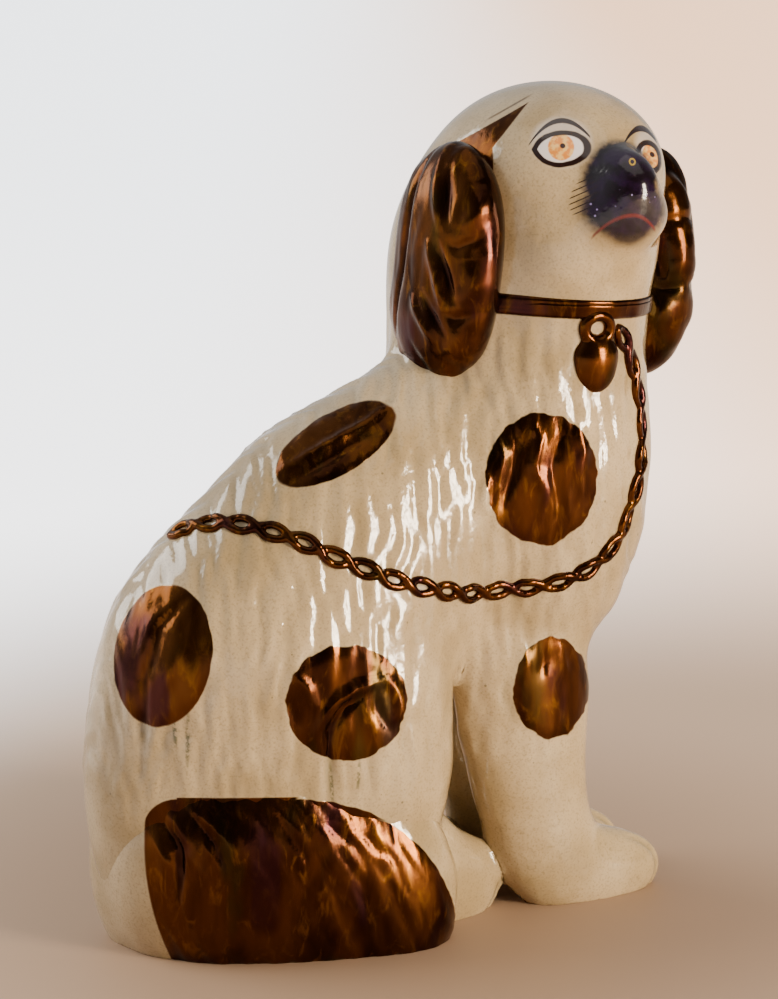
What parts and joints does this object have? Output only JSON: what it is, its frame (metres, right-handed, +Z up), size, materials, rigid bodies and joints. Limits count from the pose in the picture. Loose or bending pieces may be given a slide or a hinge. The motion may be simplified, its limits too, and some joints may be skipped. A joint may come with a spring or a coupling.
{
  "type": "dog figurine",
  "caption": "Seated hollow earthenware spaniel in cream glaze with copper-lustre ears, tail and patches, a collar, padlock and chain in relief; stands on a flat base as a mantel ornament",
  "frame": {"origin": "middle of the footprint's bounding box, on the surface that the figure stands on", "axes": "+X the way the body faces, +Y towards the dog's left flank, +Z up; the head is turned towards -Y"},
  "size_m": [0.259, 0.1138, 0.3222],
  "materials": {
    "cream_glaze": "thick glossy lead glaze over pale earthenware, finely crazed",
    "copper_lustre": "metallic copper lustre fired over the glaze",
    "bare_clay": "unglazed fired earthenware"
  },
  "bodies": {
    "root": {"body_right_half": "cream_glaze", "body_left_half": "cream_glaze", "right_foreleg": "cream_glaze", "left_foreleg": "cream_glaze", "right_hind_foot": "cream_glaze", "left_hind_foot": "cream_glaze", "tail": "copper_lustre", "right_ear": "copper_lustre", "left_ear": "copper_lustre", "collar": "copper_lustre", "padlock": "copper_lustre", "chain": "copper_lustre", "base_slab": "bare_clay"}
  },
  "joints": []
}
